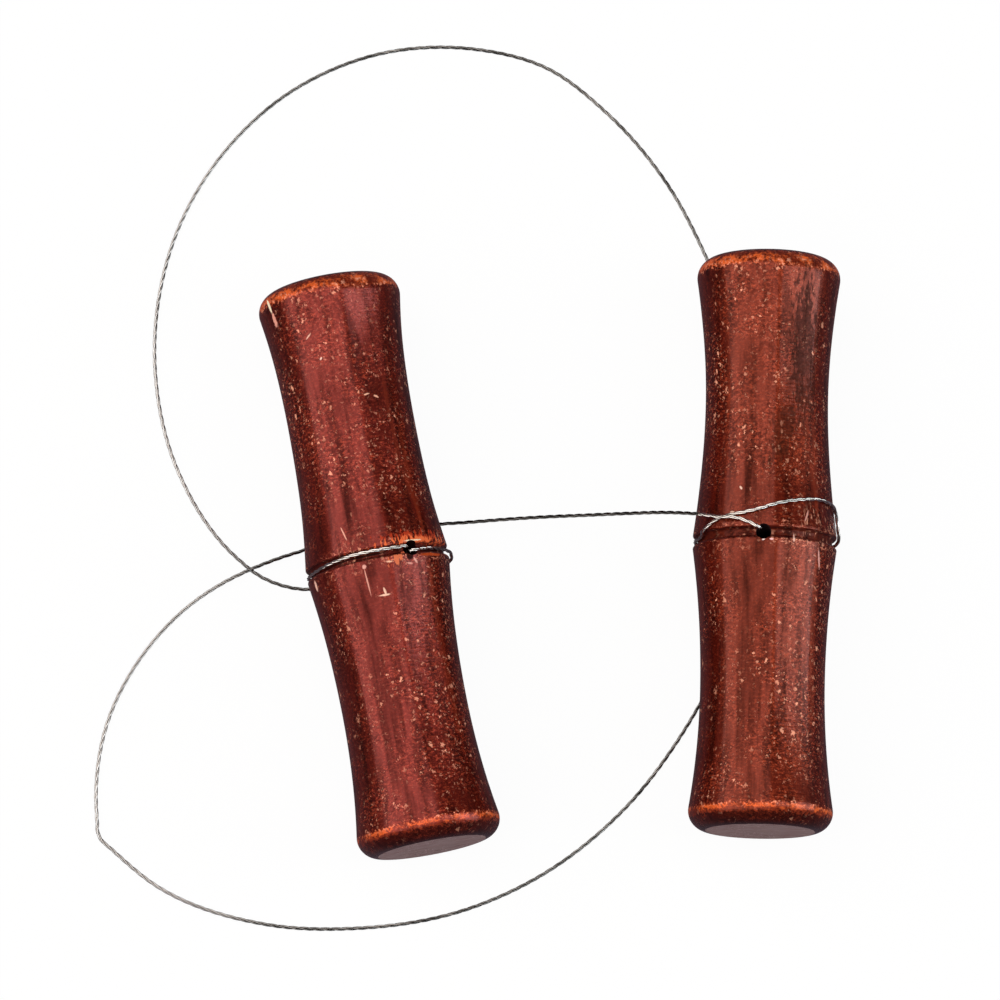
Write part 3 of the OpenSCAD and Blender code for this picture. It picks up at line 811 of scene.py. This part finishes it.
def turned_handle(turning, profile, bow, name, at, turn, lean, sides, material):
    """A handle turned from its profile, a little bowed, with the hole drilled across the groove."""
    corners = []
    for r, s in profile:
        aside = bow * (2 * s / turning.length) ** 2
        for k in range(sides):
            a = 2 * math.pi * k / sides
            corners.append(placed((r * math.sin(a) + aside, s, r * math.cos(a)), at, turn))
    piece = new_piece(name, corners, skin(len(profile), sides), material)

    hole_r, reach, count = turning.hole_r, turning.rim_r + DRILL_OUT, DRILL_SIDES
    corners = []
    for end in (-1, 1):
        for k in range(count):
            a = 2 * math.pi * k / count
            corner = hole_at(lean, end * reach, hole_r * math.cos(a), hole_r * math.sin(a))
            corners.append(placed(corner, at, turn))
    drill = new_piece(name + "_drill", corners, skin(2, count), material)
    for made in (piece, drill):
        shape = bmesh.new()
        shape.from_mesh(made.data)
        bmesh.ops.recalc_face_normals(shape, faces=shape.faces)
        shape.to_mesh(made.data)
        shape.free()
    cut = piece.modifiers.new("Cross hole", "BOOLEAN")
    cut.object, cut.operation, cut.solver = drill, "DIFFERENCE", "EXACT"
    evaluated = piece.evaluated_get(bpy.context.evaluated_depsgraph_get())
    drilled = bpy.data.meshes.new_from_object(evaluated)
    old = piece.data
    piece.modifiers.clear()
    piece.data = drilled
    piece.data.name = name
    bpy.data.meshes.remove(old)
    bpy.data.objects.remove(drill)
    piece.data.shade_smooth()
    piece.data.set_sharp_from_angle(angle=SHARP)
    return piece


# The camera's sensor in mm, what it sees in metres and the middle of its view in mm.
SENSOR, CLIP, VIEW_MIDDLE = 36, (0.01, 20), (-6.51, 9.33, 0)
# The table's half size in mm, and how brightly and how fully it glows to the camera.
TABLE_HALF, TABLE_GLOW, GLOW_SHARE = 1500, 1.06, 0.9
# How far the lamps hang from the middle in metres, and each one's size in metres and direction.
LAMP_AWAY = 0.65
MAIN_SIZE, MAIN_FROM = (0.96, 1.3), (-0.492, 0.0, 0.87)
SIDE_SIZE, SIDE_FROM = (0.32, 0.9), (0.83, -0.04, 0.56)


class CLAYCUTTER_OT_camera(bpy.types.Operator):
    """Set up the camera nearly straight above the table"""

    bl_idname = "clay_cutter.camera"
    bl_label = "Camera"

    def execute(self, context):
        studio = context.scene.clay_cutter_studio
        data = bpy.data.cameras.new("photo_camera")
        data.lens, data.sensor_width = studio.lens, SENSOR
        data.clip_start, data.clip_end = CLIP
        camera = bpy.data.objects.new("photo_camera", data)
        middle = Vector(VIEW_MIDDLE) * MM
        back = Vector((0, -math.cos(studio.elevation), math.sin(studio.elevation)))
        camera.location = middle + studio.distance * back
        camera.rotation_euler = (math.pi / 2 - studio.elevation, 0, 0)
        context.scene.collection.objects.link(camera)
        context.scene.camera = camera
        return {"FINISHED"}


class CLAYCUTTER_OT_cutting_wire(bpy.types.Operator):
    """Lay the free twisted wire over the table from one handle to the other"""

    bl_idname = "clay_cutter.cutting_wire"
    bl_label = "Cutting wire"

    def execute(self, context):
        wire = context.scene.clay_cutter_wire
        turning = drawing(context)
        way = smooth_way(wire_way(turning), wire.pitch / MM / WIRE_ROWS)
        lie = turning.wire_d / 2 + TABLE_GAP
        for point in way:
            point.z = max(point.z, lie)
        corners, faces = twisted_strands(way, wire, FIRST_ACROSS)
        steel = context.scene.clay_cutter_steel
        colours_along = (steel.stain, steel.bright)
        # The free wire takes a darker copy of the ties' steel as painted shade, darker again in its
        # middle stretch.
        dark_steel = drawn_steel("shaded_free_wire_steel", steel.shaded_bright, steel.shaded_dull, colours_along)
        piece = new_piece("cutting_wire_strands", corners, faces, dark_steel)
        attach(piece, "cutting_wire")
        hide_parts("cutting_wire")
        return {"FINISHED"}


class CLAYCUTTER_OT_wire_ties(bpy.types.Operator):
    """Tie the wire round the groove and through the cross hole of each handle"""

    bl_idname = "clay_cutter.wire_ties"
    bl_label = "Wire ties"

    def execute(self, context):
        wire = context.scene.clay_cutter_wire
        steel = context.scene.clay_cutter_steel
        bright_steel = drawn_steel("bright_drawn_steel", steel.bright, steel.dull)
        turning = drawing(context)
        for side, tie, at, turn in (
            ("left", turning.left_tie(), LEFT_AT, LEFT_TURN),
            ("right", turning.right_tie(), RIGHT_AT, RIGHT_TURN),
        ):
            way = [placed(p, at, turn) for p in smooth_way(tie, wire.pitch / MM / TIE_ROWS)]
            corners, faces = twisted_strands(way, wire, FIRST_ACROSS)
            piece = new_piece(side + "_wire_tie_strands", corners, faces, bright_steel)
            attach(piece, side + "_handle")
            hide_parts(side + "_wire_tie")
        return {"FINISHED"}


class CLAYCUTTER_OT_handles(bpy.types.Operator):
    """Turn the two handles from beech, drill them and lay them on the table"""

    bl_idname = "clay_cutter.handles"
    bl_label = "Handles"

    def execute(self, context):
        sizes = context.scene.clay_cutter_handle
        finish = context.scene.clay_cutter_wood
        turning = drawing(context)
        for side, sheen, (at, turn, lean), (fuller, bow), (scored, marks) in (
            ("left", finish.sheen, LEFT_LIE, LEFT_TURNED, (LEFT_SCORED, LEFT_MARKS)),
            ("right", finish.brown_sheen, RIGHT_LIE, RIGHT_TURNED, (RIGHT_SCORED, RIGHT_MARKS)),
        ):
            name = side + "_lacquered_beech"
            wood = lacquered_beech(name, finish, sheen, at, turn, lean, scored, marks)
            profile, name = turning.by_hand(fuller), side + "_turned_handle"
            piece = turned_handle(turning, profile, bow, name, at, turn, lean, sizes.sides, wood)
            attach(piece, side + "_handle")
            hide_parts(side + "_handle")
        return {"FINISHED"}


class CLAYCUTTER_OT_stage(bpy.types.Operator):
    """Put down the pale table and hang the two softboxes"""

    bl_idname = "clay_cutter.stage"
    bl_label = "Table and lamps"

    def execute(self, context):
        studio = context.scene.clay_cutter_studio
        material, tree = new_finish("matt_white_table")
        path = put(tree, "LightPath")
        rays = path.node.outputs
        seen = put(tree, "Math", {0: path, 1: rays["Is Transmission Ray"]}, operation="MAXIMUM")
        share = put(tree, "Math", {0: seen, 1: GLOW_SHARE}, **TIMES)
        lit = put(tree, "BsdfDiffuse", {0: (*studio.paint, 1)})
        mirrored = put(tree, "BsdfDiffuse", {0: (*studio.mirrored, 1)})
        paint = put(tree, "MixShader", {0: rays["Is Glossy Ray"], 1: lit, 2: mirrored})
        glow = put(tree, "Emission", {0: (*studio.table, 1), 1: TABLE_GLOW})
        mixed = put(tree, "MixShader", {0: share, 1: paint, 2: glow})
        put(tree, "OutputMaterial", {0: mixed})
        half = TABLE_HALF
        corners = [(-half, -half, 0), (half, -half, 0), (half, half, 0), (-half, half, 0)]
        table = new_piece("table", corners, [(0, 1, 2, 3)], material)

        for name, power, tint, size, direction in (
            ("main_softbox", studio.main_lamp, studio.main_tint, MAIN_SIZE, MAIN_FROM),
            ("side_softbox", studio.side_lamp, studio.side_tint, SIDE_SIZE, SIDE_FROM),
        ):
            data = bpy.data.lights.new(name, "AREA")
            data.color = tint
            data.shape, data.size, data.size_y, data.energy = "RECTANGLE", *size, power
            lamp = bpy.data.objects.new(name, data)
            aim = Vector(direction).normalized()
            lamp.location = aim * LAMP_AWAY
            lamp.rotation_euler = aim.to_track_quat("Z", "Y").to_euler()
            context.scene.collection.objects.link(lamp)

        world = bpy.data.worlds.new("studio_room")
        world.use_nodes = True
        world.node_tree.nodes.clear()
        path = put(world.node_tree, "LightPath")
        level = put(world.node_tree, "MapRange", {0: path, 3: studio.room, 4: 1.0})
        room = put(world.node_tree, "Background", {0: (*studio.table, 1), 1: level})
        put(world.node_tree, "OutputWorld", {0: room})
        context.scene.world = world
        context.scene.view_settings.view_transform = "Standard"
        return {"FINISHED"}


class CLAYCUTTER_PT_sidebar(bpy.types.Panel):
    """Sizes, colours and steps of the clay cutter"""

    bl_idname = "CLAYCUTTER_PT_sidebar"
    bl_label = "Clay Cutter"
    bl_space_type = "VIEW_3D"
    bl_region_type = "UI"
    bl_category = "Clay Cutter"

    def draw(self, context):
        for name, kind in GROUPS.items():
            group, box = getattr(context.scene, name), self.layout.box()
            box.label(text=kind.__doc__)
            for prop in group.bl_rna.properties:
                if prop.identifier not in {"rna_type", "name"}:
                    box.prop(group, prop.identifier)
        for step in STEPS:
            self.layout.operator(step.bl_idname)


GROUPS = {
    "clay_cutter_handle": ClayCutterHandleSizes,
    "clay_cutter_wire": ClayCutterWireSizes,
    "clay_cutter_wood": ClayCutterWoodFinish,
    "clay_cutter_steel": ClayCutterSteelFinish,
    "clay_cutter_studio": ClayCutterStudio,
}
STEPS = (
    CLAYCUTTER_OT_camera,
    CLAYCUTTER_OT_cutting_wire,
    CLAYCUTTER_OT_wire_ties,
    CLAYCUTTER_OT_handles,
    CLAYCUTTER_OT_stage,
)


def register():
    """Registers the groups, the steps and the panel."""
    for name, group in GROUPS.items():
        bpy.utils.register_class(group)
        setattr(bpy.types.Scene, name, PointerProperty(type=group))
    for step in STEPS:
        bpy.utils.register_class(step)
    bpy.utils.register_class(CLAYCUTTER_PT_sidebar)


def unregister():
    """Takes back what register did."""
    bpy.utils.unregister_class(CLAYCUTTER_PT_sidebar)
    for step in reversed(STEPS):
        bpy.utils.unregister_class(step)
    for name, group in GROUPS.items():
        delattr(bpy.types.Scene, name)
        bpy.utils.unregister_class(group)


def main():
    """Makes the whole scene, step by step."""
    register()
    bpy.ops.clay_cutter.camera()
    bpy.ops.clay_cutter.cutting_wire()
    bpy.ops.clay_cutter.wire_ties()
    bpy.ops.clay_cutter.handles()
    bpy.ops.clay_cutter.stage()


if __name__ == "__main__":
    main()
